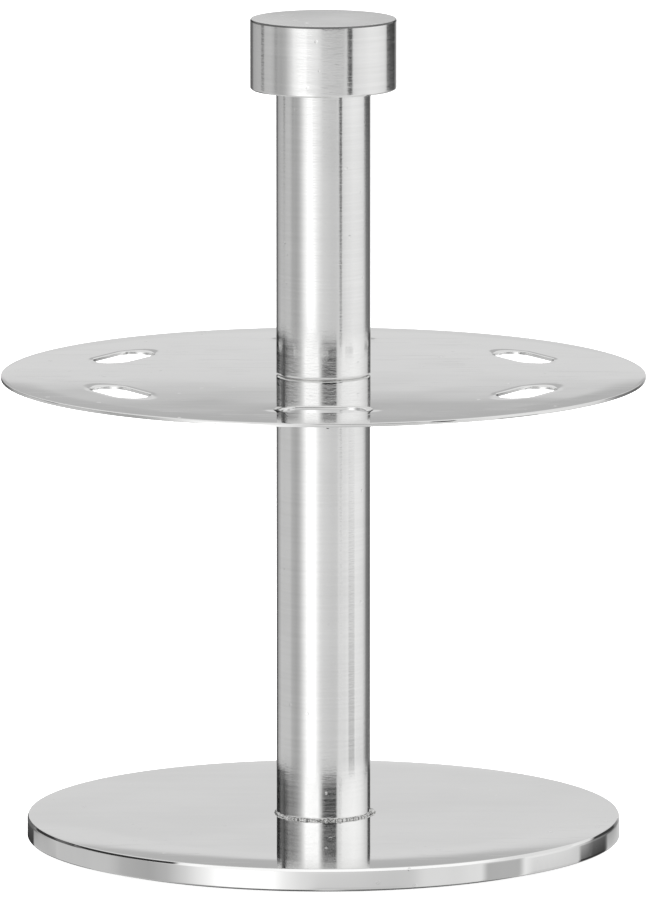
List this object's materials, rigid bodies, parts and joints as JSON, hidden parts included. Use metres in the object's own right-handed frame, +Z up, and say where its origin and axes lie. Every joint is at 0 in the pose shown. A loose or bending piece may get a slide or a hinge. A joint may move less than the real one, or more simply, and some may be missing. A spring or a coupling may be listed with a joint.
{
  "type": "razor stand",
  "caption": "Round metal stand with a heavy base, a central column, a slotted shelf that holds closed razors upright and a screw-on knob on top.",
  "frame": {"origin": "on the stand's axis, at the underside of the base pad", "axes": "+Z up along the columns, -Y towards the viewer, with one slot centred on the -Y side"},
  "size_m": [0.1734, 0.1734, 0.223],
  "materials": {
    "plate_metal": "polished, with fine scratches and pits",
    "sheet_metal": "polished, with fine scratches and pits",
    "turned_metal": "polished, with faint polishing rings",
    "knob_metal": "polished, with turning rings",
    "plug_metal": "machined",
    "fastener_metal": "zinc plated",
    "solder": "dull, lumpy",
    "pad_rubber": "matt, finely pebbled"
  },
  "bodies": {
    "stand": {"base_pad": "pad_rubber", "base_plate": "plate_metal", "base_screw": "fastener_metal", "foot_bead": "solder", "foot_plug": "plug_metal", "lower_column": "turned_metal", "shelf_plug_lower": "plug_metal", "shelf_stud": "fastener_metal", "shelf": "sheet_metal", "shelf_plug_upper": "plug_metal", "upper_column": "turned_metal", "knob_plug": "plug_metal"},
    "knob_stud": {"knob_stud": "fastener_metal"},
    "knob": {"knob": "knob_metal"}
  },
  "joints": [
    {"name": "knob_rise", "type": "slide", "parent": "stand", "child": "knob_stud", "axis": [0, 0, 1], "range_m": [0, 0.015]},
    {"name": "knob_turn", "type": "hinge", "parent": "knob_stud", "child": "knob", "pos_m": [0, 0, 0.204], "axis": [0, 0, 1], "range_deg": [0, 4320]}
  ],
  "couplings": [
    {"joint": "knob_turn", "follows": "knob_rise", "rad_per_m": 5026.5}
  ]
}
